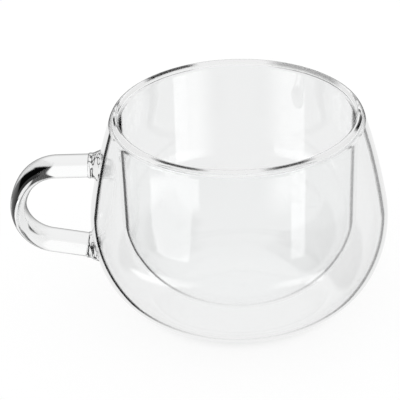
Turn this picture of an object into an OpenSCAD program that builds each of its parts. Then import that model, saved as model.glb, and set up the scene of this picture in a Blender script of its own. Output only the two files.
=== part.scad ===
// Double walled glass cup with a fused C handle.
// Millimetres, +Z up. The origin is on the cup's axis, in the plane that it stands on.
// The handle points along -X, and the cup is symmetric about the XZ plane.

/* [Inner bowl] */
// Inside radius of the bowl that holds the drink
inside_r = 38.7; // [34:0.1:46]
// Thickness of the inner wall
inner_wall = 1.2; // [0.8:0.1:1.8]
// Radius of the round corner between the inner wall and its floor, on the drink side
inner_corner_r = 28.4; // [16:0.1:32]
// Radius of the shallow dish of the inner floor, on the drink side
inner_floor_r = 95; // [60:1:200]
// Height of the middle of the inner floor, on the drink side
inner_floor_z = 5.6; // [5.2:0.1:14]

/* [Outer bowl] */
// Height of the whole cup
cup_height = 70; // [62:0.5:84]
// Thickness of the outer wall
outer_wall = 1.3; // [0.9:0.1:1.8]
// Outside radius of the curve from the base up to the belly
heel_r = 25.2; // [20:0.1:28]
// How far the heel curves up from level before the belly takes over, in degrees
heel_turn = 65.8; // [58:0.2:72]
// Outside radius of the curve of the belly
belly_r = 39.4; // [32:0.1:46]
// Lean of the wall where the belly passes into the flank, in degrees inward from upright
shoulder_lean = 10.2; // [6:0.2:14]
// Lean of the flank at the rim, in degrees inward from upright
rim_lean = 18; // [15:0.2:24]
// How far the middle of the base is hollowed above the resting ring
base_hollow = 0.9; // [0.3:0.1:1.5]
// Width of the flat ring that the cup stands on
rest_ring_w = 2.6; // [1:0.1:5]
// Radius of the level spot in the middle of the base
base_spot_r = 4.5; // [3.6:0.1:7]

/* [Rim] */
// Height of the rounded bead above the seam of the two walls
bead_h = 2.6; // [1.8:0.1:3.4]
// Space between the two walls at the seam
seam_gap = 1.2; // [0.6:0.1:2]

/* [Handle] */
// Width of the flattened glass rod, across the handle
rod_w = 13.4; // [9:0.1:16]
// Thickness of the flattened glass rod, in the plane of the handle
rod_t = 5.4; // [4:0.1:7]
// Height at which the middle of the upper arm meets the outer wall
arm_z = 51.8; // [46:0.1:54]
// Rise of the upper arm on its way out, in degrees
arm_rise = 0.5; // [-4:0.5:6]
// Straight length of the upper arm from the wall to the first bend
arm_run = 13.7; // [9:0.1:20]
// Radius of the upper bend, at the middle of the rod
upper_bend_r = 13; // [11:0.1:15]
// Turn of the upper bend, in degrees
upper_bend_turn = 60; // [50:1:70]
// Radius of the back of the handle, at the middle of the rod
back_bend_r = 20.6; // [14:0.1:30]
// Turn of the back of the handle, in degrees
back_bend_turn = 17; // [10:1:26]
// Radius of the lower bend, at the middle of the rod
lower_bend_r = 13.5; // [11:0.1:15]
// Fall of the lower arm on its way back to the wall, in degrees
lower_arm_fall = 11.8; // [4:0.2:16]
// Length of the fused collar at each end of the rod, from the wall out
root_len = 3.2; // [2.2:0.1:5]

/* [Base seal] */
// Radius of the vent hole in the middle of the base
vent_r = 1.6; // [1:0.1:2.2]
// Radius of the glass pip over the vent hole
pip_r = 3; // [2.4:0.1:3.4]
// How far the pip stands proud of the glass on either side
pip_h = 0.5; // [0.3:0.05:0.8]

/* [Hidden] */
$fn = 96;

// Greatest turn between two points of an arc, in degrees
arc_step = 3;
// Corners of the rod's oval section
rod_sides = 32;
// How far the collars run on into the wall before they are trimmed to it
trim_overrun = 4;
// Halvings that find where the lower arm meets the wall
wall_search_steps = 24;
// How much wider than the rod the fused glass is, at shares of the collar's length from its free end
collar_swell_shares = [[0, 0.02], [0.1, 0.1], [0.25, 0.13], [0.42, 0.1], [0.6, 0.14], [0.8, 0.26], [1, 0.5]];

glass_colour = [0.86, 0.9, 0.91, 0.35];
rod_colour = [0.8, 0.85, 0.87, 0.5];

// Points on an arc about a centre, from one polar angle to another
function arc(centre, r, from, to) =
    let (steps = max(1, ceil(abs(to - from) / arc_step)))
    [for (i = [0 : steps]) let (a = from + (to - from) * i / steps) centre + r * [cos(a), sin(a)]];

// Direction of a polar angle in the plane of a profile
function toward(a) = [cos(a), sin(a)];

// The seam is the level cut where the two walls end and the bead begins
seam_z = cup_height - bead_h;
seam_r = inside_r + inner_wall + seam_gap + outer_wall;

// The outer bowl's outside is three arcs, each tangent to the next: heel, belly and flank.
// The heel's own angle fixes where the belly starts, and the flank's radius takes up the height that is left.
heel_end = heel_turn - 90;
belly_end = shoulder_lean;
flank_end = rim_lean;
belly_base = heel_r * (1 + sin(heel_end));
belly_top = belly_base + belly_r * (sin(belly_end) - sin(heel_end));
flank_r = (seam_z - belly_top) / (sin(flank_end) - sin(belly_end));
rest_r = seam_r - flank_r * (cos(flank_end) - cos(belly_end)) - belly_r * (cos(belly_end) - cos(heel_end))
         - heel_r * cos(heel_end);
heel_c = [rest_r, heel_r];
belly_c = heel_c + (heel_r - belly_r) * toward(heel_end);
flank_c = belly_c + (belly_r - flank_r) * toward(belly_end);

// The base is hollowed by two equal arcs that pass from the resting ring to the level spot
ring_r = rest_r - rest_ring_w;
hollow_run = ring_r - base_spot_r;
hollow_turn = 2 * atan(base_hollow / hollow_run);
hollow_r = hollow_run / (2 * sin(hollow_turn));

// One face of the outer wall, inset from the outside by a thickness, from the axis to the seam
function outer_face(inset) = concat(
    [[0, base_hollow + inset]],
    arc([base_spot_r, base_hollow - hollow_r], hollow_r + inset, 90, 90 - hollow_turn),
    arc([ring_r, hollow_r], hollow_r - inset, -90 - hollow_turn, -90),
    arc(heel_c, heel_r - inset, -90, heel_end),
    arc(belly_c, belly_r - inset, heel_end, belly_end),
    arc(flank_c, flank_r - inset, belly_end, asin((seam_z - flank_c[1]) / (flank_r - inset))));

// Radius of the outer bowl's outside at a height
function outside_r_at(z) =
    z < belly_base ? heel_c[0] + sqrt(max(0, pow(heel_r, 2) - pow(z - heel_c[1], 2)))
    : z < belly_top ? belly_c[0] + sqrt(max(0, pow(belly_r, 2) - pow(z - belly_c[1], 2)))
    : flank_c[0] + sqrt(max(0, pow(flank_r, 2) - pow(z - flank_c[1], 2)));

// The inner bowl's drink side is a shallow dish, a round corner tangent to it, and an upright wall
dish_turn = asin((inside_r - inner_corner_r) / (inner_floor_r - inner_corner_r));
dish_c = [0, inner_floor_z + inner_floor_r];
corner_c = dish_c + (inner_floor_r - inner_corner_r) * toward(dish_turn - 90);

// One face of the inner wall, set out from the drink side by a thickness, from the axis to the seam
function inner_face(outset) = concat(
    arc(dish_c, inner_floor_r + outset, -90, dish_turn - 90),
    arc(corner_c, inner_corner_r + outset, dish_turn - 90, 0),
    [[inside_r + outset, seam_z]]);

// The same list from its end to its start
function backward(list) = [for (i = [len(list) - 1 : -1 : 0]) list[i]];

module inner_bowl() {
    color(glass_colour)
    rotate_extrude()
    polygon(concat(inner_face(inner_wall), backward(inner_face(0))));
}

module outer_bowl() {
    color(glass_colour)
    difference() {
        rotate_extrude()
        polygon(concat(outer_face(0), backward(outer_face(outer_wall))));
        vent_bore();
    }
}

module vent_bore() {
    cylinder(r = vent_r, h = base_hollow + 2 * outer_wall);
}

// The space that the whole outer bowl takes up, to trim the collars to
module outer_bowl_filled() {
    rotate_extrude()
    polygon(concat(outer_face(0), [[0, seam_z]]));
}

// A half oval that stands on the seam, as wide as both walls and the space between them
module rim_bead() {
    half_w = (seam_r - inside_r) / 2;
    color(glass_colour)
    rotate_extrude()
    polygon([for (p = arc([0, 0], 1, 0, 180)) [inside_r + half_w + half_w * p[0], seam_z + bead_h * p[1]]]);
}

// The handle's centre line, in a plane whose first axis runs out from the cup's axis.
// A heading is an angle in that plane, and a place after a bend is worked out from the bend's centre.
upper_wall = [outside_r_at(arm_z), arm_z];
arm_end = upper_wall + arm_run * toward(arm_rise);
upper_bend_c = arm_end - upper_bend_r * toward(arm_rise + 90);
back_start_a = arm_rise + 90 - upper_bend_turn;
back_end_a = back_start_a - back_bend_turn;
lower_end_a = lower_arm_fall - 90;
back_bend_c = upper_bend_c + (upper_bend_r - back_bend_r) * toward(back_start_a);
lower_bend_c = back_bend_c + (back_bend_r - lower_bend_r) * toward(back_end_a);
lower_arm_start = lower_bend_c + lower_bend_r * toward(lower_end_a);
inward = toward(180 + lower_arm_fall);
lower_run = run_to_wall(0, norm([lower_arm_start[0], 0]), wall_search_steps);

// Distance along the lower arm at which it meets the outer wall, by halving the stretch that holds it
function run_to_wall(near, far, steps) =
    let (mid = (near + far) / 2, p = lower_arm_start + mid * inward)
    steps == 0 ? mid
    : p[0] > outside_r_at(p[1]) ? run_to_wall(mid, far, steps - 1)
    : run_to_wall(near, mid, steps - 1);

// A station is a place on the centre line, a heading along it and a width factor
rod_stations = concat(
    [[upper_wall + root_len * toward(arm_rise), arm_rise, 1]],
    [for (i = [0 : bend_steps(upper_bend_turn)])
        let (a = arm_rise + 90 - upper_bend_turn * i / bend_steps(upper_bend_turn))
        [upper_bend_c + upper_bend_r * toward(a), a - 90, 1]],
    [for (i = [1 : bend_steps(back_bend_turn)])
        let (a = back_start_a - back_bend_turn * i / bend_steps(back_bend_turn))
        [back_bend_c + back_bend_r * toward(a), a - 90, 1]],
    [for (i = [1 : bend_steps(back_end_a - lower_end_a)])
        let (a = back_end_a - (back_end_a - lower_end_a) * i / bend_steps(back_end_a - lower_end_a))
        [lower_bend_c + lower_bend_r * toward(a), a - 90, 1]],
    [[lower_arm_start + (lower_run - root_len) * inward, lower_end_a - 90, 1]]);

function bend_steps(turn) = max(1, ceil(turn / arc_step));

// Stations of a fused collar, from its free end to the wall and on into it
function collar_stations(wall_point, way_in, heading) = concat(
    [for (s = collar_swell_shares)
        [wall_point - (1 - s[0]) * root_len * way_in, heading, 1 + s[1]]],
    [[wall_point + trim_overrun * way_in, heading, 1 + collar_swell_shares[len(collar_swell_shares) - 1][1]]]);

// The oval ring of points round a station. The collars swell by the same length all round the oval.
function ring_at(station) =
    let (grow = (station[2] - 1) * rod_t / 2, across = toward(station[1] + 90))
    [for (i = [0 : rod_sides - 1])
        let (a = 360 * i / rod_sides, n = (rod_t / 2 + grow) * cos(a), b = (rod_w / 2 + grow) * sin(a),
             p = station[0] + n * across)
        [-p[0], b, p[1]]];

// A closed skin over the rings of a row of stations
module skin_over(stations) {
    rings = len(stations);
    points = [for (s = stations) each ring_at(s)];
    sides = [for (k = [0 : rings - 2], i = [0 : rod_sides - 1])
        let (a = k * rod_sides + i, b = k * rod_sides + (i + 1) % rod_sides)
        each [[a, b, b + rod_sides], [a, b + rod_sides, a + rod_sides]]];
    first = [for (i = [rod_sides - 1 : -1 : 0]) i];
    last = [for (i = [0 : rod_sides - 1]) (rings - 1) * rod_sides + i];
    polyhedron(points = points, faces = concat(sides, [first, last]), convexity = 4);
}

module handle() {
    color(rod_colour)
    skin_over(rod_stations);
}

module handle_upper_root() {
    color(rod_colour)
    difference() {
        skin_over(backward(collar_stations(upper_wall, -toward(arm_rise), arm_rise)));
        outer_bowl_filled();
    }
}

module handle_lower_root() {
    color(rod_colour)
    difference() {
        skin_over(collar_stations(lower_arm_start + lower_run * inward, inward, lower_end_a - 90));
        outer_bowl_filled();
    }
}

// A pip that fills the vent hole and spreads a little over the glass inside and out
module base_seal() {
    color(glass_colour) {
        cylinder_between(vent_r, base_hollow, base_hollow + outer_wall);
        pip_cap(base_hollow, -1);
        pip_cap(base_hollow + outer_wall, 1);
    }
}

module cylinder_between(r, low, high) {
    translate([0, 0, low])
    cylinder(r = r, h = high - low);
}

// A low domed cap on a level face, standing up from it or hanging below it
module pip_cap(face_z, side) {
    translate([0, 0, face_z])
    scale([1, 1, side])
    rotate_extrude()
    polygon(concat([[0, 0]], [for (p = arc([0, 0], 1, 0, 90)) [pip_r * p[0], pip_h * p[1]]]));
}

inner_bowl();
outer_bowl();
rim_bead();
handle();
handle_upper_root();
handle_lower_root();
base_seal();
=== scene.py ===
import math

import bmesh
import bpy
from bpy.props import FloatProperty, FloatVectorProperty, IntProperty, PointerProperty
from mathutils import Matrix, Vector


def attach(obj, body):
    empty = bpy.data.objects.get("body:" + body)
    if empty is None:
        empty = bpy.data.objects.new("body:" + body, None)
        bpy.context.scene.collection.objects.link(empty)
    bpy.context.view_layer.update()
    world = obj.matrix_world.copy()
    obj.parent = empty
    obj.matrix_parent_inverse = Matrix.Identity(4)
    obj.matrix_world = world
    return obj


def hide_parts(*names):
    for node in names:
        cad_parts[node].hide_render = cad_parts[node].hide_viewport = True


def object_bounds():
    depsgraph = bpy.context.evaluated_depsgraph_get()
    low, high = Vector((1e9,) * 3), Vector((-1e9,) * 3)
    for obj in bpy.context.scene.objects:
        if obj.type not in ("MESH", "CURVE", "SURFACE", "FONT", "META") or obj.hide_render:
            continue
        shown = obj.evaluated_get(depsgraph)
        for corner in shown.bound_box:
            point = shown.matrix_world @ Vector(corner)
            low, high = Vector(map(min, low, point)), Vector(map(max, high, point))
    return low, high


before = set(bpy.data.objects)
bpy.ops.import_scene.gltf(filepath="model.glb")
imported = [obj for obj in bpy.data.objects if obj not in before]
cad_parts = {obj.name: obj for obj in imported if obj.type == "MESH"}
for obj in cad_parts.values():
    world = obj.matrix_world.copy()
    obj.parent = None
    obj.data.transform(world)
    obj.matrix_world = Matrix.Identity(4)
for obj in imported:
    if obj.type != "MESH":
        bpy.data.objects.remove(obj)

bl_info = {
    "name": "Double walled glass cup",
    "version": (1, 0, 0),
    "blender": (4, 5, 0),
    "location": "3D View > Sidebar > Cup",
    "description": "Builds a double walled glass cup with a fused handle, in a white studio",
    "category": "Add Mesh",
}

CAD_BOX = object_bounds()
QUARTER = math.pi / 2

# Points nearer than MERGE are one. A face nearer than NEAR_WALL to the outer bowl's outside lies on
# it. An edge that turns by more than SHARP isn't smoothed.
MERGE = 1e-7
NEAR_WALL = 2e-4
SHARP = math.radians(35)
# Rounds of a search that halves its span
HALVINGS = 50

# The material slots of a piece. CUTTER marks faces that are only there to cut.
OUTSIDE, FUSED, HOLLOW_SIDE, CUTTER = range(4)

# How often light may bounce before it is given up
BOUNCES = 30

# Materials and node groups already made, by name
MADE = {}


# Sizes and finishes that a user would change

def length(name, description, default):
    """A length in metres"""
    return FloatProperty(name=name, description=description, default=default, unit="LENGTH")


def angle(name, description, degrees):
    """An angle, by default of so many degrees"""
    return FloatProperty(
        name=name, description=description, default=math.radians(degrees), subtype="ANGLE")


def factor(name, description, default):
    """A number from 0 to 1"""
    return FloatProperty(
        name=name, description=description, default=default, min=0, max=1, subtype="FACTOR")


def colour(name, description, default):
    """A colour"""
    return FloatVectorProperty(
        name=name, description=description, default=default, min=0, max=1, size=3, subtype="COLOR")


class CupSizes(bpy.types.PropertyGroup):
    """The two bowls, the bead that joins them at the rim and the seal in the base"""
    height: length("Height", "Height of the whole cup", CAD_BOX[1].z)
    inside_r: length("Inside radius", "Inside radius of the bowl that holds the drink", 0.0387)
    inner_wall: length("Inner wall", "Thickness of the inner wall", 0.0012)
    corner_r: length(
        "Inner corner", "Radius of the round corner between the inner wall and its floor", 0.0284)
    floor_r: length("Inner floor dish", "Radius of the shallow dish of the inner floor", 0.095)
    floor_z: length(
        "Inner floor height", "Height of the middle of the inner floor on the drink side", 0.0056)
    outer_wall: length("Outer wall", "Thickness of the outer wall", 0.0013)
    heel_r: length("Heel", "Outside radius of the curve from the base up to the belly", 0.0252)
    heel_turn: angle("Heel turn", "How far the heel curves up from level", 65.8)
    belly_r: length("Belly", "Outside radius of the curve of the belly", 0.0394)
    shoulder_lean: angle(
        "Shoulder lean", "Inward lean of the wall where the belly passes into the flank", 10.2)
    rim_lean: angle("Rim lean", "Inward lean of the outer wall at the rim", 18)
    base_hollow: length(
        "Base hollow", "How far the middle of the base is hollowed above the resting ring", 0.0009)
    rest_ring_w: length("Resting ring", "Width of the flat ring that the cup stands on", 0.0026)
    base_spot_r: length("Base spot", "Radius of the level spot in the middle of the base", 0.0045)
    bead_h: length(
        "Bead height", "Height of the rounded bead above the seam of the two walls", 0.0026)
    seam_gap: length("Seam gap", "Space between the two walls at the seam", 0.0012)
    vent_r: length("Vent", "Radius of the vent hole in the middle of the base", 0.0016)
    pip_r: length("Pip", "Radius of the glass pip over the vent hole", 0.003)
    pip_rise: length(
        "Pip rise", "How far the melted pip stands proud of the glass on either side", 0.0001)


class HandleSizes(bpy.types.PropertyGroup):
    """The flattened glass rod and the collars that fuse it to the outer bowl"""
    rod_w: length("Rod width", "Width of the flattened rod, across the handle", 0.0134)
    rod_t: length(
        "Rod thickness", "Thickness of the flattened rod, in the plane of the handle", 0.0054)
    arm_z: length(
        "Arm height", "Height at which the middle of the upper arm meets the wall", 0.0518)
    arm_rise: angle("Arm rise", "Rise of the upper arm on its way out", 0.5)
    arm_run: length(
        "Arm run", "Straight length of the upper arm from the wall to the first bend", 0.0137)
    upper_bend_r: length("Upper bend", "Radius of the upper bend, at the middle of the rod", 0.013)
    upper_bend_turn: angle("Upper bend turn", "Turn of the upper bend", 60)
    back_bend_r: length(
        "Back", "Radius of the back of the handle, at the middle of the rod", 0.0206)
    back_bend_turn: angle("Back turn", "Turn of the back of the handle", 17)
    lower_bend_r: length("Lower bend", "Radius of the lower bend, at the middle of the rod", 0.0135)
    lower_arm_fall: angle(
        "Lower arm fall", "Fall of the lower arm on its way back to the wall", 11.8)
    root_len: length("Collar length", "Length of the fused collar at each end of the rod", 0.0032)


class GlassFinish(bpy.types.PropertyGroup):
    """Colour and surface of the glass, with its painted dark lines and painted streaks"""
    tint: colour(
        "Tint", "Colour of light that has passed through one wall of the glass",
        (0.99, 0.993, 0.993))
    # Colour of the painted dark lines and streaks: painted shade and painted reflections of a dark
    # room, not a colour of the glass
    painted_line_tint: colour("Edge tint", "The same in the dark lines and streaks of the glass", (0, 0, 0))
    # Painted shade: how dark the painted line inside the glass's outline is, where the surface is
    # seen nearly edge on
    painted_edge_line: factor(
        "Edge line", "Darkness of the thin line inside the outline of the glass", 0.98)
    # Painted shade: the painted line is weaker on the bowls away from the handle
    painted_line_far_side: factor(
        "Line away from the handle", "Strength of the same line on the bowls away from the handle",
        0.68)
    # Painted shade: the painted line is weaker where a wall faces the table
    painted_line_underside: factor(
        "Line under the bowl", "Strength of the same line where a wall faces the table", 0.1)
    ior: FloatProperty(
        name="Refraction", description="Index of refraction of the glass", default=1.47)
    roughness: factor("Roughness", "Roughness of the polished surface", 0)
    deep_grey: FloatProperty(
        name="Deep grey", description="Brightness of light that is caught inside the walls",
        default=0.43, min=0)
    blown_waves: length(
        "Waves of the bowls", "Depth of the slight waves in the blown walls", 0.00004)
    rod_waves: length("Waves of the rod", "Depth of the slight waves in the drawn rod", 0.00002)
    flamed_waves: length(
        "Waves of the seams", "Depth of the ripples in the flame-worked glass", 0.0001)


class MeshFineness(bpy.types.PropertyGroup):
    """How finely the round shapes are divided"""
    turns: IntProperty(
        name="Round the cup", description="Faces round the cup's axis", default=256, min=24)
    rod_sides: IntProperty(
        name="Round the rod", description="Faces round the rod's oval section", default=56, min=12)
    arc_step: angle("Arc step", "Greatest turn between two points of an arc", 2.5)


class StudioSizes(bpy.types.PropertyGroup):
    """The white floor and the camera's lens"""
    floor_width: length("Floor width", "Width of the white floor", 6)
    lens: FloatProperty(
        name="Lens", description="Focal length of the camera's lens in millimetres", default=156.1)


class CupScene(bpy.types.PropertyGroup):
    """All sizes and finishes of the cup and its studio"""
    cup: PointerProperty(type=CupSizes)
    handle: PointerProperty(type=HandleSizes)
    finish: PointerProperty(type=GlassFinish)
    fineness: PointerProperty(type=MeshFineness)
    studio: PointerProperty(type=StudioSizes)


# Outlines in a plane through the cup's axis, as points of (distance from the axis, height)

def toward(angle_up):
    """Unit vector at an angle in the outline's plane"""
    return Vector((math.cos(angle_up), math.sin(angle_up)))


def seam_height(s):
    """Height of the level cut where the two walls end and the bead begins"""
    return s.height - s.bead_h


def seam_radius(s):
    """Outside radius of the outer wall at the seam"""
    return s.inside_r + s.inner_wall + s.seam_gap + s.outer_wall


def last_outside(near, far, is_outside):
    """Halves a span until it has the place where is_outside ends"""
    for _ in range(HALVINGS):
        middle = (near + far) / 2
        near, far = (middle, far) if is_outside(middle) else (near, middle)
    return near


class OuterOutline:
    """The outer bowl's outside: heel, belly and flank, three arcs each tangent to the next"""

    def __init__(self, s):
        self.heel_end = s.heel_turn - QUARTER
        self.belly_end = s.shoulder_lean
        belly_base = s.heel_r * (1 + math.sin(self.heel_end))
        belly_top = belly_base + s.belly_r * (math.sin(self.belly_end) - math.sin(self.heel_end))
        self.flank_r = ((seam_height(s) - belly_top)
                        / (math.sin(s.rim_lean) - math.sin(self.belly_end)))
        self.rest_r = (seam_radius(s)
                       - self.flank_r * (math.cos(s.rim_lean) - math.cos(self.belly_end))
                       - s.belly_r * (math.cos(self.belly_end) - math.cos(self.heel_end))
                       - s.heel_r * math.cos(self.heel_end))
        self.heel_r, self.belly_r = s.heel_r, s.belly_r
        self.heel_c = Vector((self.rest_r, s.heel_r))
        self.belly_c = self.heel_c + (s.heel_r - s.belly_r) * toward(self.heel_end)
        self.flank_c = self.belly_c + (s.belly_r - self.flank_r) * toward(self.belly_end)
        self.belly_base, self.belly_top = belly_base, belly_top

    def radius_at(self, z):
        """Outside radius of the bowl at a height"""
        centre, r = ((self.heel_c, self.heel_r) if z < self.belly_base
                     else (self.belly_c, self.belly_r) if z < self.belly_top
                     else (self.flank_c, self.flank_r))
        return centre.x + math.sqrt(max(0.0, r * r - (z - centre.y) ** 2))


class RodLine:
    """The handle's centre line, in a plane whose first axis runs out from the cup's axis"""

    def __init__(self, s, outline):
        self.upper_wall = Vector((outline.radius_at(s.arm_z), s.arm_z))
        self.out = toward(s.arm_rise)
        arm_end = self.upper_wall + s.arm_run * self.out
        self.upper_bend_c = arm_end - s.upper_bend_r * toward(s.arm_rise + QUARTER)
        back_start = s.arm_rise + QUARTER - s.upper_bend_turn
        back_end = back_start - s.back_bend_turn
        lower_end = s.lower_arm_fall - QUARTER
        self.back_bend_c = (self.upper_bend_c
                            + (s.upper_bend_r - s.back_bend_r) * toward(back_start))
        self.lower_bend_c = (self.back_bend_c
                             + (s.back_bend_r - s.lower_bend_r) * toward(back_end))
        self.lower_turn = back_end - lower_end
        lower_start = self.lower_bend_c + s.lower_bend_r * toward(lower_end)
        self.inward = toward(math.pi + s.lower_arm_fall)
        self.lower_heading = lower_end - QUARTER

        def is_outside(run):
            p = lower_start + run * self.inward
            return p.x > outline.radius_at(p.y)

        self.lower_run = last_outside(0.0, lower_start.x, is_outside)
        self.lower_wall = lower_start + self.lower_run * self.inward


def handle_point(p):
    """A point of the handle's plane in the frame, where the handle points along -X"""
    return Vector((-p.x, 0, p.y))


# Mesh tools for the pieces that are turned round the cup's axis

def start_at(bm, r, z):
    """A first vertex of an outline in the XZ plane"""
    return bm.verts.new((r, 0, z))


def line_to(bm, vert, r, z):
    """Draws the outline on from a vertex to a point"""
    end = bm.verts.new((r, 0, z))
    bm.edges.new((vert, end))
    return end


def arc_on(bm, vert, centre, turn, step):
    """Draws the outline on by an arc about a centre; a positive turn is anticlockwise"""
    swept = bmesh.ops.spin(
        bm, geom=[vert], cent=(centre[0], 0, centre[1]), axis=(0, -1, 0), dvec=(0, 0, 0),
        angle=turn, steps=max(1, math.ceil(abs(turn) / step)), use_merge=False,
        use_duplicate=False)
    return swept["geom_last"][0]


def turn_round(bm, steps):
    """Turns the outline once round the cup's axis into a closed skin"""
    bmesh.ops.spin(
        bm, geom=bm.verts[:] + bm.edges[:], cent=(0, 0, 0), axis=(0, 0, 1), dvec=(0, 0, 0),
        angle=2 * math.pi, steps=steps, use_merge=True, use_duplicate=False)
    bmesh.ops.remove_doubles(bm, verts=bm.verts[:], dist=MERGE)
    bmesh.ops.recalc_face_normals(bm, faces=bm.faces[:])


def is_level(face):
    """Whether a face is level"""
    return abs(face.normal.z) > 0.9999


def is_upright(face):
    """Whether a face is upright"""
    return abs(face.normal.z) < 1e-3


def is_at(face, height):
    """Whether the middle of a face is at a height"""
    return abs(face.calc_center_median().z - height) < MERGE


def is_within(face, radius):
    """Whether the middle of a face is nearer than a radius to the cup's axis"""
    return face.calc_center_median().xy.length < radius


def mark_faces(bm, is_fused, thin_wall=False):
    """Gives the fused faces their material slot, and a thin wall's hollow side its own"""
    for face in bm.faces:
        if is_fused(face):
            face.material_index = FUSED
        elif thin_wall:
            outward = face.calc_center_median().xy.normalized()
            hollow_side = face.normal.z > face.normal.xy.dot(outward)
            face.material_index = HOLLOW_SIDE if hollow_side else OUTSIDE


def make_piece(bm, name, materials, slot, *nodes):
    """Turns the bmesh into a piece that stands for CAD nodes, which it hides, and hangs it on the
    root body
    """
    for face in bm.faces:
        face.smooth = True
    for edge in bm.edges:
        if len(edge.link_faces) == 2:
            first, second = edge.link_faces
            edge.smooth = (first.material_index == second.material_index
                           and edge.calc_face_angle(0.0) < SHARP)
    mesh = bpy.data.meshes.new(name)
    bm.to_mesh(mesh)
    bm.free()
    for material in materials:
        mesh.materials.append(material)
    piece = bpy.data.objects.new(name, mesh)
    bpy.context.scene.collection.objects.link(piece)
    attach(piece, "root")
    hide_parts(*nodes)


# Mesh tools for the rod and its collars, which are swept from one ring to the next

def verts_of(geom):
    """The vertices in a list of geometry"""
    return [g for g in geom if isinstance(g, bmesh.types.BMVert)]


def edges_of(geom):
    """The edges in a list of geometry"""
    return [g for g in geom if isinstance(g, bmesh.types.BMEdge)]


def rod_axes(heading):
    """The rod's own axes as rows: across its thickness, across its width and along its heading"""
    across, along = handle_point(toward(heading + QUARTER)), handle_point(toward(heading))
    return Matrix((across, Vector((0, 1, 0)), along))


def rod_ring(bm, s, point, heading, sides):
    """The rod's oval, square to a heading; returns its vertices and edges"""
    place = rod_axes(heading).transposed().to_4x4()
    place.translation = handle_point(point)
    place = place @ Matrix.Diagonal((s.rod_t / 2, s.rod_w / 2, 1, 1))
    verts = bmesh.ops.create_circle(
        bm, cap_ends=False, radius=1, segments=sides, matrix=place)["verts"]
    return verts + list(dict.fromkeys(e for v in verts for e in v.link_edges))


def scale_ring(bm, ring, point, heading, factors):
    """Scales a ring about a point along the rod's own axes; returns the matrix into that space"""
    space = rod_axes(heading).to_4x4() @ Matrix.Translation(-handle_point(point))
    bmesh.ops.scale(bm, vec=factors, space=space, verts=verts_of(ring))
    return space


def ring_along(bm, ring, vec):
    """Extrudes a ring by a vector"""
    made = bmesh.ops.extrude_edge_only(bm, edges=edges_of(ring))["geom"]
    bmesh.ops.translate(bm, vec=vec, verts=verts_of(made))
    return verts_of(made) + edges_of(made)


def ring_round(bm, ring, centre, turn, step):
    """Sweeps a ring about a centre in the handle's plane; a negative turn bends it down"""
    return bmesh.ops.spin(
        bm, geom=ring, cent=handle_point(centre), axis=(0, 1, 0), dvec=(0, 0, 0), angle=turn,
        steps=max(1, math.ceil(abs(turn) / step)), use_merge=False,
        use_duplicate=False)["geom_last"]


def close_ring(bm, ring):
    """Closes the end of a rod with one flat face"""
    return bmesh.ops.contextual_create(bm, geom=edges_of(ring))["faces"][0]


# Node tools

def feed(links, socket, value):
    """Links a socket to another one, or gives it a value"""
    if isinstance(value, bpy.types.NodeSocket):
        links.new(value, socket)
    else:
        socket.default_value = value


def maths(nodes, links, operation, *values):
    """A Math node on values and sockets; returns its output"""
    node = nodes.new("ShaderNodeMath")
    node.operation = operation
    for socket, value in zip(node.inputs, values):
        feed(links, socket, value)
    return node.outputs[0]


def vector_maths(nodes, links, operation, *values):
    """The same for a Vector Math node"""
    node = nodes.new("ShaderNodeVectorMath")
    node.operation = operation
    for socket, value in zip(node.inputs, values):
        feed(links, socket, value)
    return node.outputs["Value" if operation in ("DOT_PRODUCT", "LENGTH") else "Vector"]


def split(nodes, links, vector):
    """The X, Y and Z of a vector"""
    node = nodes.new("ShaderNodeSeparateXYZ")
    links.new(vector, node.inputs[0])
    return node.outputs


def ramp(nodes, links, value, start, end, low, high):
    """A smooth step from low at start to high at end; returns its output"""
    node = nodes.new("ShaderNodeMapRange")
    node.interpolation_type = "SMOOTHSTEP"
    links.new(value, node.inputs["Value"])
    for socket, number in (("From Min", start), ("From Max", end), ("To Min", low),
                           ("To Max", high)):
        feed(links, node.inputs[socket], number)
    return node.outputs[0]


def own_place(nodes):
    """The place on the object"""
    return nodes.new("ShaderNodeTexCoord").outputs["Object"]


def node_group(name, inputs, output, output_type):
    """A new node group; returns its nodes and links, its inputs and its one output"""
    group = MADE[name] = bpy.data.node_groups.new(name, "ShaderNodeTree")
    for socket in inputs:
        group.interface.new_socket(socket, in_out="INPUT", socket_type="NodeSocketFloat")
    group.interface.new_socket(output, in_out="OUTPUT", socket_type=output_type)
    given, result = group.nodes.new("NodeGroupInput"), group.nodes.new("NodeGroupOutput")
    return group.nodes, group.links, given.outputs, result.inputs[output]


def wave_group():
    """Node group for the slight waves in the surface of hot-worked glass"""
    if "glass_waves" in MADE:
        return MADE["glass_waves"]
    nodes, links, given, result = node_group(
        "glass_waves", ("Size", "Depth"), "Normal", "NodeSocketVector")
    waves = nodes.new("ShaderNodeTexNoise")
    waves.inputs["Detail"].default_value = 1
    waves.inputs["Roughness"].default_value = 0.3
    bump = nodes.new("ShaderNodeBump")
    bump.inputs["Strength"].default_value = 1
    links.new(maths(nodes, links, "DIVIDE", 1, given["Size"]), waves.inputs["Scale"])
    links.new(own_place(nodes), waves.inputs["Vector"])
    links.new(waves.outputs["Fac"], bump.inputs["Height"])
    links.new(given["Depth"], bump.inputs["Distance"])
    links.new(bump.outputs["Normal"], result)
    return MADE["glass_waves"]


# Soft-edged cards, laid by two angles. Each has its name, (azimuth, elevation), (half width, half
# height), taper, (edge across, edge up) and brightness. All angles are in degrees. A card with a
# taper is wider above its middle than below it, or narrower if the taper is negative.
CARD_ANGLES = ("Card Azimuth", "Card Elevation", "Half Width", "Half Height", "Edge Across",
               "Edge Up")

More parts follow.
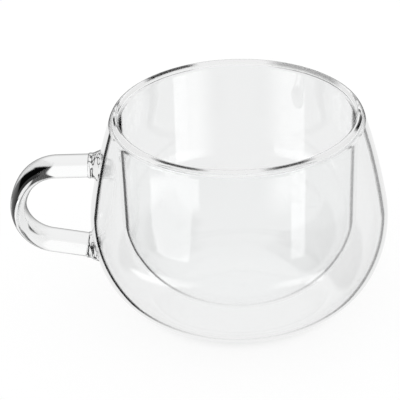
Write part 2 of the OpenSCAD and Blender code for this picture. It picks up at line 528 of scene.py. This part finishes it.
# How the glass sees the room, by direction from the cup. Azimuth 0 is straight on from the camera,
# and + is to its right. The lamps below the level are lamps above it, mirrored in the table.
ROOM_LEVEL = 0.88
ROOM_CARDS = (
    ("dark_left", (-48, 30), (30, 32), 0, (5, 8), 0.03),
    ("dark_right", (75, 30), (38, 28), 0, (8, 8), 0.08),
    ("grey_left", (-40, -32), (20, 30), 0, (8, 8), 0.83),
    ("grey_right", (40, -32), (20, 30), 0, (8, 8), 0.82),
    ("bright_above", (0, 30), (16, 17), 0, (6, 8), 1.0),
    ("lamp_left_soft", (-128, -26.6), (12, 2.2), 0, (28, 0.8), 2.3),
    ("lamp_left_high", (-118, -26.6), (12, 2.2), 0, (2, 0.8), 2.3),
    ("lamp_left", (-114, -29.6), (27, 0.8), 0, (3, 0.5), 2.4),
    ("lamp_left_low", (-110, -32), (19.5, 2), 3, (2, 0.6), 2.3),
    ("lamp_right_soft", (138, -27.4), (12, 3), 0, (28, 1.4), 2.5),
    ("lamp_right", (123, -28.5), (7.5, 4), 0, (1.5, 0.8), 2.7),
)

# Painted dark streaks on the rim bead, painted reflections of the dark room. Azimuth is the place
# round the rim, counted like the room's, and elevation is the slope across the bead, + on its outer
# side. Their brightness is their darkness.
BEAD_PAINTED_REFLECTIONS = (
    ("back_left", (-34.5, -13), (14, 42), 0, (8, 16), 0.92),
    ("back_right", (41, -20), (20, 48), 0, (12, 24), 0.5),
    ("front_left", (-151, 20), (11.5, 15), 0, (10, 12), 0.92),
    ("front_right", (158, 20), (10, 17), 0, (10, 14), 0.9),
    ("left_edge_high", (-95.5, 16), (4.5, 11), 0, (5, 10), 1.0),
    ("left_edge_low", (-104, -8), (5, 11), 0, (5, 10), 1.0),
    ("left_band", (-107, -34), (10, 8), 0, (8, 7), 1.0),
    ("right_edge", (104.5, 30), (8, 14), 0, (6, 8), 1.0),
    ("right_band", (110, -25), (7, 12), 0, (6, 8), 1.0),
)

# Painted dark streaks on the rod, a painted reflection of a dark card beside the handle. Azimuth is
# the slope across it, 0 on its side and + on its outer face. Elevation is the place round the upper
# bend, 0 straight out from the cup and 90 on top.
ROD_PAINTED_REFLECTIONS = (
    ("streak", (61, 38), (22, 30), -0.1, (5, 10), 1.0),
    ("streak_tip", (72, 71), (7, 9), -0.45, (5, 6), 1.0),
    ("streak_tail", (55, -2), (16, 22), 0.4, (5, 6), 1.0),
    ("inner_line", (-10, 31), (9, 27), 0, (12, 16), 0.7),
)


def card_group():
    """Node group that lays one soft-edged card over a level of brightness, by two angles"""
    if "soft_card" in MADE:
        return MADE["soft_card"]
    nodes, links, given, result = node_group(
        "soft_card", ("Level", "Azimuth", "Elevation", *CARD_ANGLES, "Taper", "Brightness"),
        "Level", "NodeSocketFloat")

    def calc(operation, *values):
        return maths(nodes, links, operation, *values)

    def inside(distance, half, edge):
        """1 inside the card, falling to 0 across its soft edge"""
        return ramp(nodes, links, calc("SUBTRACT", distance, half), calc("MULTIPLY", edge, -0.5),
                    calc("MULTIPLY", edge, 0.5), 1, 0)

    up = calc("SUBTRACT", given["Elevation"], given["Card Elevation"])
    aside = calc("SUBTRACT", given["Azimuth"], given["Card Azimuth"])
    aside = calc("ABSOLUTE", calc("WRAP", aside, -math.pi, math.pi))
    half_width = calc("ADD", given["Half Width"], calc("MULTIPLY", up, given["Taper"]))
    cover = calc("MULTIPLY", inside(aside, half_width, given["Edge Across"]),
                 inside(calc("ABSOLUTE", up), given["Half Height"], given["Edge Up"]))
    change = calc("MULTIPLY", cover, calc("SUBTRACT", given["Brightness"], given["Level"]))
    links.new(calc("ADD", given["Level"], change), result)
    return MADE["soft_card"]


def lay_cards(nodes, links, azimuth, elevation, level, cards):
    """Lays cards over an even level; returns the resulting brightness"""
    for name, place, half_size, taper, edge, brightness in cards:
        card = nodes.new("ShaderNodeGroup")
        card.node_tree = card_group()
        card.name = card.label = name
        for socket, value in (("Level", level), ("Azimuth", azimuth), ("Elevation", elevation),
                              ("Taper", taper), ("Brightness", brightness)):
            feed(links, card.inputs[socket], value)
        for socket, degrees in zip(CARD_ANGLES, (*place, *half_size, *edge)):
            card.inputs[socket].default_value = math.radians(degrees)
        level = card.outputs["Level"]
    return level


# Materials

# Length of the waves in each kind of glass
BLOWN_WAVE, ROD_WAVE, FLAMED_WAVE = 0.025, 0.016, 0.004

# Each kind's painted dark line, painted shade in place of the dark room that the glass would
# mirror, by how far edge on the surface is (0 square on, 1 edge on): where the line begins and is
# full, and where it begins to end and has ended if it doesn't run on to the edge
BLOWN_PAINTED_LINE = (0.69, 0.735, 0.77, 0.79)
HOLLOW_PAINTED_LINE = (0.78, 0.87)
ROD_PAINTED_LINE = (0.62, 0.92)
FLAMED_PAINTED_LINE = (0.6, 0.88)

# The bowls' painted lines change in strength as the wall turns to the table, by the Z of the way it
# faces, and from the handle's side to the cup's axis, by X
TO_THE_TABLE = (0.4, 0.68)
FROM_THE_HANDLE = (-0.04, 0)

# Refraction in a painted dark line, low enough that the line mirrors next to nothing
LINE_IOR = 1.02

# Folds are level lines of a noise that is squeezed along X, Y and Z. Their core ends, and then
# their soft edge, where the noise is so far off that level.
FOLD_SIZE = 0.0034
FOLD_SQUEEZE = (2, 0.7, 0.8)
FOLD_EDGE = (0.012, 0.045)
FOLD_DARKNESS = 0.97


def glass(name, wave_size, wave_depth, line, table_way=0, marks=None):
    """Clear glass, with slight waves and a painted dark line, painted shade, where the surface is
    seen nearly edge on.

    table_way: for a wall of a bowl, the sign of its normal's Z where the wall faces the table,
    where the painted line is weaker.
    marks: a function that adds nodes for further painted dark marks, painted reflections, and
    returns their darkness.
    Light that is still inside the glass on its last bounce fades to an even grey."""
    if name in MADE:
        return MADE[name]
    finish = bpy.context.scene.cup_scene.finish
    material = MADE[name] = bpy.data.materials.new(name)
    material.use_nodes = True
    nodes, links = material.node_tree.nodes, material.node_tree.links

    def calc(operation, *values):
        return maths(nodes, links, operation, *values)

    surface = nodes.new("ShaderNodeNewGeometry").outputs
    facing = nodes.new("ShaderNodeLayerWeight").outputs["Facing"]
    # Painted shade: a dark line painted into the glass colour where the surface is seen nearly edge
    # on, in place of the dark room it would mirror
    begin, full, *end = line
    painted_edge_shade = ramp(nodes, links, facing, begin, full, 0, finish.painted_edge_line)
    if end:
        painted_edge_shade = calc("MULTIPLY", painted_edge_shade, ramp(nodes, links, facing, *end, 1, 0))
    # Painted shade: the painted line is weaker where a bowl's wall faces the table, and away from
    # the handle
    if table_way:
        down = calc("MULTIPLY", split(nodes, links, surface["Normal"])["Z"], table_way)
        x = split(nodes, links, own_place(nodes))["X"]
        for value, span, strength in ((down, TO_THE_TABLE, finish.painted_line_underside),
                                      (x, FROM_THE_HANDLE, finish.painted_line_far_side)):
            painted_edge_shade = calc("MULTIPLY", painted_edge_shade, ramp(nodes, links, value, *span, 1, strength))
    on_the_outside = calc("SUBTRACT", 1, surface["Backfacing"])
    dark = painted_edge_shade = calc("MULTIPLY", painted_edge_shade, on_the_outside)
    # The marks are painted reflections that darken the glass colour along with the painted line
    if marks:
        dark = calc("MAXIMUM", painted_edge_shade, calc("MULTIPLY", marks(nodes, links), on_the_outside))
    # The glass colour turns to the painted line colour under the painted lines and streaks
    tint = nodes.new("ShaderNodeMix")
    tint.data_type = "RGBA"
    tint.inputs["A"].default_value = (*finish.tint, 1)
    tint.inputs["B"].default_value = (*finish.painted_line_tint, 1)
    # the shader gives half of its colour on the way in and half on the way out
    links.new(calc("MULTIPLY", dark, calc("SUBTRACT", 2, dark)), tint.inputs["Factor"])
    shader = nodes["Principled BSDF"].inputs
    shader["Roughness"].default_value = finish.roughness
    shader["Transmission Weight"].default_value = 1
    shader["IOR"].default_value = finish.ior
    links.new(tint.outputs["Result"], shader["Base Color"])
    # Under the painted line the glass bends light next to nothing
    bend = calc("MULTIPLY", painted_edge_shade, LINE_IOR - finish.ior)
    links.new(calc("ADD", bend, finish.ior), shader["IOR"])
    waves = nodes.new("ShaderNodeGroup")
    waves.node_tree = wave_group()
    waves.inputs["Size"].default_value = wave_size
    waves.inputs["Depth"].default_value = wave_depth
    links.new(waves.outputs["Normal"], shader["Normal"])
    depth = nodes.new("ShaderNodeLightPath").outputs["Ray Depth"]
    late = calc("GREATER_THAN", depth, BOUNCES - 0.5)
    links.new(calc("MULTIPLY", late, finish.deep_grey), shader["Emission Strength"])
    return material


def blown_glass():
    """The outsides of the thin walls of the two bowls"""
    waves = bpy.context.scene.cup_scene.finish.blown_waves
    return glass("blown_glass", BLOWN_WAVE, waves, BLOWN_PAINTED_LINE, table_way=-1)


def hollow_glass():
    """The hollow sides of the same walls"""
    waves = bpy.context.scene.cup_scene.finish.blown_waves
    return glass("blown_glass_hollow_side", BLOWN_WAVE, waves, HOLLOW_PAINTED_LINE, table_way=1)


def rod_glass():
    """The solid rod of the handle"""
    waves = bpy.context.scene.cup_scene.finish.rod_waves
    return glass("rod_glass", ROD_WAVE, waves, ROD_PAINTED_LINE, marks=rod_painted_reflections)


def flamed_glass(name="flamed_glass", marks=None):
    """Glass that was melted together in the flame"""
    waves = bpy.context.scene.cup_scene.finish.flamed_waves
    return glass(name, FLAMED_WAVE, waves, FLAMED_PAINTED_LINE, marks=marks)


def fused_face():
    """A face inside the glass, where two pieces are one: light passes straight on"""
    if "fused_face" in MADE:
        return MADE["fused_face"]
    material = MADE["fused_face"] = bpy.data.materials.new("fused_face")
    material.use_nodes = True
    nodes = material.node_tree.nodes
    nodes.remove(nodes["Principled BSDF"])
    clear = nodes.new("ShaderNodeBsdfTransparent")
    material.node_tree.links.new(clear.outputs[0], nodes["Material Output"].inputs["Surface"])
    return material


def way_round(nodes, links, centre, plane):
    """The way from a centre within a plane, in X, Y and Z, and how far the surface faces it"""
    normal = nodes.new("ShaderNodeNewGeometry").outputs["Normal"]
    offset = vector_maths(nodes, links, "SUBTRACT", own_place(nodes), centre)
    flat = vector_maths(nodes, links, "MULTIPLY", offset, plane)
    way = vector_maths(nodes, links, "NORMALIZE", flat)
    return split(nodes, links, way), vector_maths(nodes, links, "DOT_PRODUCT", way, normal)


def bead_painted_reflections(nodes, links):
    """Painted dark streaks, painted reflections, along the bead, by their place round the rim and
    the slope across the bead
    """
    way, facing = way_round(nodes, links, (0, 0, 0), (1, 1, 0))
    round_rim = maths(nodes, links, "ARCTAN2", way["X"], way["Y"])
    slope = maths(nodes, links, "ARCSINE", facing)
    return lay_cards(nodes, links, round_rim, slope, 0, BEAD_PAINTED_REFLECTIONS)


def rod_painted_reflections(nodes, links):
    """Painted dark streaks, a painted reflection, in the rod's upper bend, by the slope across it
    and the place round the bend
    """
    scene = bpy.context.scene.cup_scene
    centre = RodLine(scene.handle, OuterOutline(scene.cup)).upper_bend_c
    way, facing = way_round(nodes, links, handle_point(centre), (1, 0, 1))
    normal = split(nodes, links, nodes.new("ShaderNodeNewGeometry").outputs["Normal"])
    slope = maths(nodes, links, "ARCTAN2", facing, maths(nodes, links, "MULTIPLY", normal["Y"], -1))
    round_bend = maths(nodes, links, "ARCTAN2", way["Z"],
                       maths(nodes, links, "MULTIPLY", way["X"], -1))
    return lay_cards(nodes, links, slope, round_bend, 0, ROD_PAINTED_REFLECTIONS)


def folds(nodes, links):
    """Thin dark lines where the molten glass has folded"""
    noise = nodes.new("ShaderNodeTexNoise")
    noise.inputs["Scale"].default_value = 1 / FOLD_SIZE
    noise.inputs["Detail"].default_value = 1
    squeezed = vector_maths(nodes, links, "MULTIPLY", own_place(nodes), FOLD_SQUEEZE)
    links.new(squeezed, noise.inputs["Vector"])
    off = maths(nodes, links, "SUBTRACT", noise.outputs["Fac"], 0.5)
    return ramp(nodes, links, maths(nodes, links, "ABSOLUTE", off), *FOLD_EDGE, FOLD_DARKNESS, 0)


# Operators, one for each piece or group

class CUP_OT_inner_bowl(bpy.types.Operator):
    """Turns the near-cylindrical bowl that holds the drink"""
    bl_idname = "cup.inner_bowl"
    bl_label = "Inner bowl"

    def execute(self, context):
        s, fine = context.scene.cup_scene.cup, context.scene.cup_scene.fineness
        dish_turn = math.asin((s.inside_r - s.corner_r) / (s.floor_r - s.corner_r))
        dish_c = Vector((0, s.floor_z + s.floor_r))
        corner_c = dish_c + (s.floor_r - s.corner_r) * toward(dish_turn - QUARTER)
        seam = seam_height(s)
        bm = bmesh.new()
        # the drink's side, from the middle up to the seam
        v = start_at(bm, 0, s.floor_z)
        v = arc_on(bm, v, dish_c, dish_turn, fine.arc_step)
        v = arc_on(bm, v, corner_c, QUARTER - dish_turn, fine.arc_step)
        v = line_to(bm, v, s.inside_r, seam)
        # the air space's side, from the seam back down
        v = line_to(bm, v, s.inside_r + s.inner_wall, seam)
        v = line_to(bm, v, s.inside_r + s.inner_wall, corner_c.y)
        v = arc_on(bm, v, corner_c, dish_turn - QUARTER, fine.arc_step)
        arc_on(bm, v, dish_c, -dish_turn, fine.arc_step)
        turn_round(bm, fine.turns)
        mark_faces(bm, lambda f: is_at(f, seam), thin_wall=True)
        make_piece(bm, "inner_bowl_glass", [blown_glass(), fused_face(), hollow_glass()],
                   "clear_glass", "inner_bowl")
        return {"FINISHED"}


class CUP_OT_outer_bowl(bpy.types.Operator):
    """Turns the pot-bellied outer bowl with its resting ring, hollow base and vent hole"""
    bl_idname = "cup.outer_bowl"
    bl_label = "Outer bowl"

    def execute(self, context):
        s, fine = context.scene.cup_scene.cup, context.scene.cup_scene.fineness
        o = OuterOutline(s)
        seam, step = seam_height(s), fine.arc_step
        # the hollow of the base is two arcs, tangent to the ring, to each other and to the spot
        ring_r = o.rest_r - s.rest_ring_w
        hollow_run = ring_r - s.base_spot_r
        hollow_turn = 2 * math.atan(s.base_hollow / hollow_run)
        hollow_r = hollow_run / (2 * math.sin(hollow_turn))
        near_c = Vector((s.base_spot_r, s.base_hollow - hollow_r))
        far_c = Vector((ring_r, hollow_r))
        bm = bmesh.new()
        # the outside, from the vent hole out and up to the seam
        first = v = start_at(bm, s.vent_r, s.base_hollow)
        v = line_to(bm, v, s.pip_r, s.base_hollow)
        v = line_to(bm, v, s.base_spot_r, s.base_hollow)
        v = arc_on(bm, v, near_c, -hollow_turn, step)
        v = arc_on(bm, v, far_c, hollow_turn, step)
        v = line_to(bm, v, o.rest_r, 0)
        v = arc_on(bm, v, o.heel_c, s.heel_turn, step)
        v = arc_on(bm, v, o.belly_c, o.belly_end - o.heel_end, step)
        v = arc_on(bm, v, o.flank_c, s.rim_lean - o.belly_end, step)
        # the inside, from the seam back down
        inner_flank_r = o.flank_r - s.outer_wall
        inner_lean = math.asin((seam - o.flank_c.y) / inner_flank_r)
        v = line_to(bm, v, o.flank_c.x + inner_flank_r * math.cos(inner_lean), seam)
        v = arc_on(bm, v, o.flank_c, o.belly_end - inner_lean, step)
        v = arc_on(bm, v, o.belly_c, o.heel_end - o.belly_end, step)
        v = arc_on(bm, v, o.heel_c, -s.heel_turn, step)
        v = line_to(bm, v, ring_r, s.outer_wall)
        v = arc_on(bm, v, far_c, -hollow_turn, step)
        v = arc_on(bm, v, near_c, hollow_turn, step)
        v = line_to(bm, v, s.pip_r, s.base_hollow + s.outer_wall)
        v = line_to(bm, v, s.vent_r, s.base_hollow + s.outer_wall)
        bm.edges.new((v, first))
        turn_round(bm, fine.turns)
        mark_faces(bm, lambda f: is_at(f, seam) or is_within(f, s.pip_r), thin_wall=True)
        make_piece(bm, "outer_bowl_glass", [blown_glass(), fused_face(), hollow_glass()],
                   "clear_glass", "outer_bowl")
        return {"FINISHED"}


class CUP_OT_rim_bead(bpy.types.Operator):
    """Turns the fire-polished bead that closes the space between the walls"""
    bl_idname = "cup.rim_bead"
    bl_label = "Rim bead"

    def execute(self, context):
        s, fine = context.scene.cup_scene.cup, context.scene.cup_scene.fineness
        # its arcs are small, so they need fewer points
        seam, step = seam_height(s), 3 * fine.arc_step
        outside, inside = seam_radius(s), s.inside_r
        # Two arcs that are drawn low and then stretched to the bead's height. The lean of the outer
        # one before the stretch is the one that follows on from the outer wall after it.
        lean = s.rim_lean
        for _ in range(HALVINGS):
            outer_r = (outside - inside) / (math.cos(lean) + 1 - math.sin(lean))
            inner_r = (1 - math.sin(lean)) * outer_r
            stretch = s.bead_h / inner_r
            lean = 0.5 * (lean + math.atan(stretch * math.tan(s.rim_lean)))
        outer_c = (outside - outer_r * math.cos(lean), -outer_r * math.sin(lean))
        bm = bmesh.new()
        first = v = start_at(bm, outside, 0)
        v = arc_on(bm, v, outer_c, QUARTER - lean, step)
        v = arc_on(bm, v, (inside + inner_r, 0), QUARTER, step)
        bmesh.ops.scale(bm, vec=(1, 1, stretch), verts=bm.verts[:])
        v = line_to(bm, v, inside + s.inner_wall, 0)
        v = arc_on(bm, v, (inside + s.inner_wall + s.seam_gap / 2, 0), -math.pi, step)
        bm.edges.new((v, first))
        bmesh.ops.translate(bm, vec=(0, 0, seam), verts=bm.verts[:])
        turn_round(bm, fine.turns)
        mark_faces(bm, lambda f: is_level(f) and is_at(f, seam))
        make_piece(bm, "rim_bead_glass", [flamed_glass("bead_glass", bead_painted_reflections), fused_face()],
                   "fused_glass", "rim_bead")
        return {"FINISHED"}


class CUP_OT_handle(bpy.types.Operator):
    """Sweeps the flattened glass rod along the handle's line"""
    bl_idname = "cup.handle"
    bl_label = "Handle"

    def execute(self, context):
        scene = context.scene.cup_scene
        s, fine = scene.handle, scene.fineness
        line = RodLine(s, OuterOutline(scene.cup))
        bm = bmesh.new()
        start = line.upper_wall + s.root_len * line.out
        ring = rod_ring(bm, s, start, s.arm_rise, fine.rod_sides)
        first = close_ring(bm, ring)
        ring = ring_along(bm, ring, handle_point((s.arm_run - s.root_len) * line.out))
        for centre, turn in ((line.upper_bend_c, s.upper_bend_turn),
                             (line.back_bend_c, s.back_bend_turn),
                             (line.lower_bend_c, line.lower_turn)):
            ring = ring_round(bm, ring, centre, -turn, fine.arc_step)
        ring = ring_along(bm, ring, handle_point((line.lower_run - s.root_len) * line.inward))
        first.material_index = close_ring(bm, ring).material_index = FUSED
        bmesh.ops.recalc_face_normals(bm, faces=bm.faces[:])
        make_piece(bm, "handle_glass", [rod_glass(), fused_face()], "solid_glass", "handle")
        return {"FINISHED"}


# How much wider than the rod a collar is, in rod thicknesses, at shares of its length from the rod
COLLAR_SWELL = ((0.1, 0.1), (0.25, 0.13), (0.42, 0.1), (0.6, 0.14), (0.8, 0.26), (1, 0.5))
# The collar's face on the wall is laid in rings, each this share of the one outside it
WALL_RINGS = (0.8, 0.75, 0.6667, 0.5, 0.0)
# How far the wall is looked for along a collar, and how far its cutter reaches through the wall
WALL_REACH = 0.02
CUTTER_REACH = 0.003


def reach_wall(outline, point, way):
    """The place on the outer bowl's outside that lies ahead of a point, or just behind it"""
    def is_outside(run):
        p = point + run * way
        return p.xy.length > outline.radius_at(p.z)

    return point + last_outside(-WALL_REACH, WALL_REACH, is_outside) * way


def collar(bm, s, outline, wall_point, way_in, heading, sides):
    """The swollen glass between the rod's end and the wall"""
    way = handle_point(way_in)
    ring = rod_ring(bm, s, wall_point - s.root_len * way_in, heading, sides)
    joint = close_ring(bm, ring)
    share, half_t, half_w = 0.0, s.rod_t / 2, s.rod_w / 2
    for to_share, swell in COLLAR_SWELL:
        ring = ring_along(bm, ring, (to_share - share) * s.root_len * way)
        centre = wall_point - (1 - to_share) * s.root_len * way_in
        grown_t = s.rod_t / 2 + swell * s.rod_t / 2
        grown_w = s.rod_w / 2 + swell * s.rod_t / 2
        scale_ring(bm, ring, centre, heading, (grown_t / half_t, grown_w / half_w, 1))
        share, half_t, half_w = to_share, grown_t, grown_w
    skin = set(bm.faces)
    for shrink in WALL_RINGS:
        for v in verts_of(ring):
            v.co = reach_wall(outline, v.co, way)
        ring = ring_along(bm, ring, (0, 0, 0))
        scale_ring(bm, ring, wall_point, heading, (shrink, shrink, shrink))
    for face in (joint, *(set(bm.faces) - skin)):
        face.material_index = FUSED
    bmesh.ops.remove_doubles(bm, verts=bm.verts[:], dist=MERGE)
    bmesh.ops.recalc_face_normals(bm, faces=bm.faces[:])


def open_under_collar(piece, s, outline, wall_point, way_in, heading, sides):
    """Cuts the collar's oval into the wall's outside, and lets light pass straight on inside it"""
    swell = COLLAR_SWELL[-1][1]
    oval_t, oval_w = s.rod_t + swell * s.rod_t, s.rod_w + swell * s.rod_t
    bm = bmesh.new()
    bm.from_mesh(piece.data)
    wall_faces = set(bm.faces)
    for face in wall_faces:
        face.select = False
    start = wall_point - CUTTER_REACH * way_in
    ring = rod_ring(bm, s, start, heading, sides)
    space = scale_ring(bm, ring, start, heading, (oval_t / s.rod_t, oval_w / s.rod_w, 1))
    ring_along(bm, ring, 2 * CUTTER_REACH * handle_point(way_in))
    for face in set(bm.faces) - wall_faces:
        face.select = True
        face.material_index = CUTTER
    bm.to_mesh(piece.data)
    bm.free()
    bpy.ops.object.select_all(action="DESELECT")
    bpy.context.view_layer.objects.active = piece
    piece.select_set(True)
    bpy.ops.object.mode_set(mode="EDIT")
    bpy.ops.mesh.select_mode(type="FACE")
    bpy.ops.mesh.intersect(
        mode="SELECT_UNSELECT", separate_mode="NONE", threshold=MERGE, solver="EXACT")
    bpy.ops.object.mode_set(mode="OBJECT")
    bm = bmesh.new()
    bm.from_mesh(piece.data)
    cutter = [f for f in bm.faces if f.material_index == CUTTER]
    bmesh.ops.delete(bm, geom=cutter, context="FACES")
    for face in bm.faces:
        place = face.calc_center_median()
        local = space @ place
        in_oval = math.hypot(local.x / (oval_t / 2), local.y / (oval_w / 2)) < 1
        on_wall = abs(place.xy.length - outline.radius_at(place.z)) < NEAR_WALL
        if place.x < 0 and in_oval and on_wall:
            face.material_index = FUSED
    bm.to_mesh(piece.data)
    bm.free()


class CUP_OT_handle_roots(bpy.types.Operator):
    """Makes the two collars that fuse the rod to the outer bowl, and opens the wall under them"""
    bl_idname = "cup.handle_roots"
    bl_label = "Handle roots"

    def execute(self, context):
        scene = context.scene.cup_scene
        s, sides = scene.handle, scene.fineness.rod_sides
        outline = OuterOutline(scene.cup)
        line = RodLine(s, outline)
        wall = bpy.data.objects["outer_bowl_glass"]
        ends = (("handle_upper_root", line.upper_wall, -line.out, s.arm_rise + math.pi),
                ("handle_lower_root", line.lower_wall, line.inward, line.lower_heading))
        for node, wall_point, way_in, heading in ends:
            bm = bmesh.new()
            collar(bm, s, outline, wall_point, way_in, heading, sides)
            make_piece(bm, node + "_glass", [flamed_glass("collar_glass", folds), fused_face()],
                       "fused_glass", node)
            open_under_collar(wall, s, outline, wall_point, way_in, heading, sides)
        return {"FINISHED"}


class CUP_OT_base_seal(bpy.types.Operator):
    """Turns the pip of glass that closes the vent hole"""
    bl_idname = "cup.base_seal"
    bl_label = "Base seal"

    def execute(self, context):
        scene = context.scene.cup_scene
        s, fine = scene.cup, scene.fineness
        low, high = s.base_hollow, s.base_hollow + s.outer_wall
        # each cap is a shallow piece of a sphere, and the pip is small, so it needs fewer faces
        dome_r = (s.pip_r ** 2 + s.pip_rise ** 2) / (2 * s.pip_rise)
        dome_turn = math.asin(s.pip_r / dome_r)
        step, turns = dome_turn / 6, fine.turns // 4
        bm = bmesh.new()
        v = start_at(bm, 0, low - s.pip_rise)
        v = arc_on(bm, v, (0, low - s.pip_rise + dome_r), dome_turn, step)
        v = line_to(bm, v, s.vent_r, low)
        v = line_to(bm, v, s.vent_r, high)
        v = line_to(bm, v, s.pip_r, high)
        arc_on(bm, v, (0, high + s.pip_rise - dome_r), dome_turn, step)
        turn_round(bm, turns)
        mark_faces(bm, lambda f: is_upright(f) or is_level(f) and not is_within(f, s.vent_r))
        make_piece(bm, "base_seal_glass", [flamed_glass(), fused_face()], "fused_glass",
                   "base_seal")
        return {"FINISHED"}


# The floor's own brightness rises with the distance from the cup's axis, out of the contact shade
SHADE_REACH = (0.022, 0.038)
SHADE_LEVELS = (0.61, 1.027)
# Share of the floor's light that is its own; the rest it reflects
OWN_LIGHT = 0.9
FLOOR_COLOUR = (0.9, 0.9, 0.9, 1)

# What the world gives the floor, and what the camera sees of it
EVEN_LIGHT = (0.95, 0.95, 0.95, 1)
WHITE = (1, 1, 1, 1)

# The camera's place, and its turn in degrees: to the side, down and about its own axis
CAMERA_PLACE = (-0.01333, -0.50914, 0.32972)
CAMERA_TURN = (-0.03, 29.9, -2.0)
SENSOR_MM = 36


class CUP_OT_studio(bpy.types.Operator):
    """Lays the white floor, makes the room that lights the cup and sets up the camera"""
    bl_idname = "cup.studio"
    bl_label = "Studio"

    def execute(self, context):
        scene = context.scene
        self.floor(scene)
        self.world(scene)
        self.camera(scene)
        # light runs a long way inside the walls before it leaves them
        scene.cycles.max_bounces = BOUNCES
        scene.cycles.transmission_bounces = BOUNCES
        scene.cycles.glossy_bounces = BOUNCES
        scene.cycles.transparent_max_bounces = BOUNCES
        scene.view_settings.view_transform = "Standard"
        return {"FINISHED"}

    def floor(self, scene):
        """A white floor with a soft contact shade, which the glass itself doesn't see"""
        bm = bmesh.new()
        bmesh.ops.create_grid(
            bm, x_segments=1, y_segments=1, size=scene.cup_scene.studio.floor_width / 2)
        mesh = bpy.data.meshes.new("studio_floor")
        bm.to_mesh(mesh)
        bm.free()
        floor = bpy.data.objects.new("studio_floor", mesh)
        scene.collection.objects.link(floor)
        floor.visible_glossy = False
        floor.visible_transmission = False
        material = bpy.data.materials.new("white_floor")
        material.use_nodes = True
        nodes, links = material.node_tree.nodes, material.node_tree.links
        nodes.remove(nodes["Principled BSDF"])
        matte = nodes.new("ShaderNodeBsdfDiffuse")
        matte.inputs["Color"].default_value = FLOOR_COLOUR
        glow = nodes.new("ShaderNodeEmission")
        distance = vector_maths(nodes, links, "LENGTH", own_place(nodes))
        links.new(ramp(nodes, links, distance, *SHADE_REACH, *SHADE_LEVELS),
                  glow.inputs["Strength"])
        mix = nodes.new("ShaderNodeMixShader")
        mix.inputs[0].default_value = OWN_LIGHT
        links.new(matte.outputs[0], mix.inputs[1])
        links.new(glow.outputs[0], mix.inputs[2])
        links.new(mix.outputs[0], nodes["Material Output"].inputs["Surface"])
        mesh.materials.append(material)

    def world(self, scene):
        """A room of lamps for the glass, even light for the floor and white for the camera"""
        world = bpy.data.worlds.new("studio_room")
        scene.world = world
        world.use_nodes = True
        nodes, links = world.node_tree.nodes, world.node_tree.links
        way = split(nodes, links, nodes.new("ShaderNodeTexCoord").outputs["Generated"])
        azimuth = maths(nodes, links, "ARCTAN2", way["X"], way["Y"])
        elevation = maths(nodes, links, "ARCSINE", way["Z"])
        seen = nodes["Background"]
        links.new(lay_cards(nodes, links, azimuth, elevation, ROOM_LEVEL, ROOM_CARDS),
                  seen.inputs["Color"])
        path = nodes.new("ShaderNodeLightPath")
        for ray, light in (("Is Diffuse Ray", EVEN_LIGHT), ("Is Camera Ray", WHITE)):
            even = nodes.new("ShaderNodeBackground")
            even.inputs["Color"].default_value = light
            mix = nodes.new("ShaderNodeMixShader")
            links.new(path.outputs[ray], mix.inputs[0])
            links.new(seen.outputs[0], mix.inputs[1])
            links.new(even.outputs[0], mix.inputs[2])
            seen = mix
        links.new(seen.outputs[0], nodes["World Output"].inputs["Surface"])

    def camera(self, scene):
        """The camera, in the place and with the lens of the photograph's"""
        camera = bpy.data.cameras.new("photo_camera")
        camera.lens = scene.cup_scene.studio.lens
        camera.sensor_width = SENSOR_MM
        camera.clip_start, camera.clip_end = 0.01, 20
        holder = bpy.data.objects.new("photo_camera", camera)
        scene.collection.objects.link(holder)
        scene.camera = holder
        aside, down, about = map(math.radians, CAMERA_TURN)
        holder.matrix_world = (
            Matrix.Translation(CAMERA_PLACE) @ Matrix.Rotation(aside, 4, "Z")
            @ Matrix.Rotation(QUARTER - down, 4, "X") @ Matrix.Rotation(about, 4, "Z"))


class CUP_PT_panel(bpy.types.Panel):
    """Buttons and sizes of the cup in the 3D view's sidebar"""
    bl_idname = "CUP_PT_panel"
    bl_label = "Double walled glass cup"
    bl_space_type = "VIEW_3D"
    bl_region_type = "UI"
    bl_category = "Cup"

    def draw(self, context):
        settings = context.scene.cup_scene
        for operator in OPERATORS:
            self.layout.operator(operator.bl_idname)
        for group in (settings.cup, settings.handle, settings.finish, settings.fineness,
                      settings.studio):
            box = self.layout.box()
            for name in group.__annotations__:
                box.prop(group, name)


GROUPS = (CupSizes, HandleSizes, GlassFinish, MeshFineness, StudioSizes, CupScene)
OPERATORS = (CUP_OT_inner_bowl, CUP_OT_outer_bowl, CUP_OT_rim_bead, CUP_OT_handle,
             CUP_OT_handle_roots, CUP_OT_base_seal, CUP_OT_studio)


def register():
    for cls in (*GROUPS, *OPERATORS, CUP_PT_panel):
        bpy.utils.register_class(cls)
    bpy.types.Scene.cup_scene = PointerProperty(type=CupScene)


def unregister():
    del bpy.types.Scene.cup_scene
    for cls in reversed((*GROUPS, *OPERATORS, CUP_PT_panel)):
        bpy.utils.unregister_class(cls)


def main():
    register()
    bpy.ops.cup.inner_bowl()
    bpy.ops.cup.outer_bowl()
    bpy.ops.cup.rim_bead()
    bpy.ops.cup.handle()
    bpy.ops.cup.handle_roots()
    bpy.ops.cup.base_seal()
    bpy.ops.cup.studio()


if __name__ == "__main__":
    main()
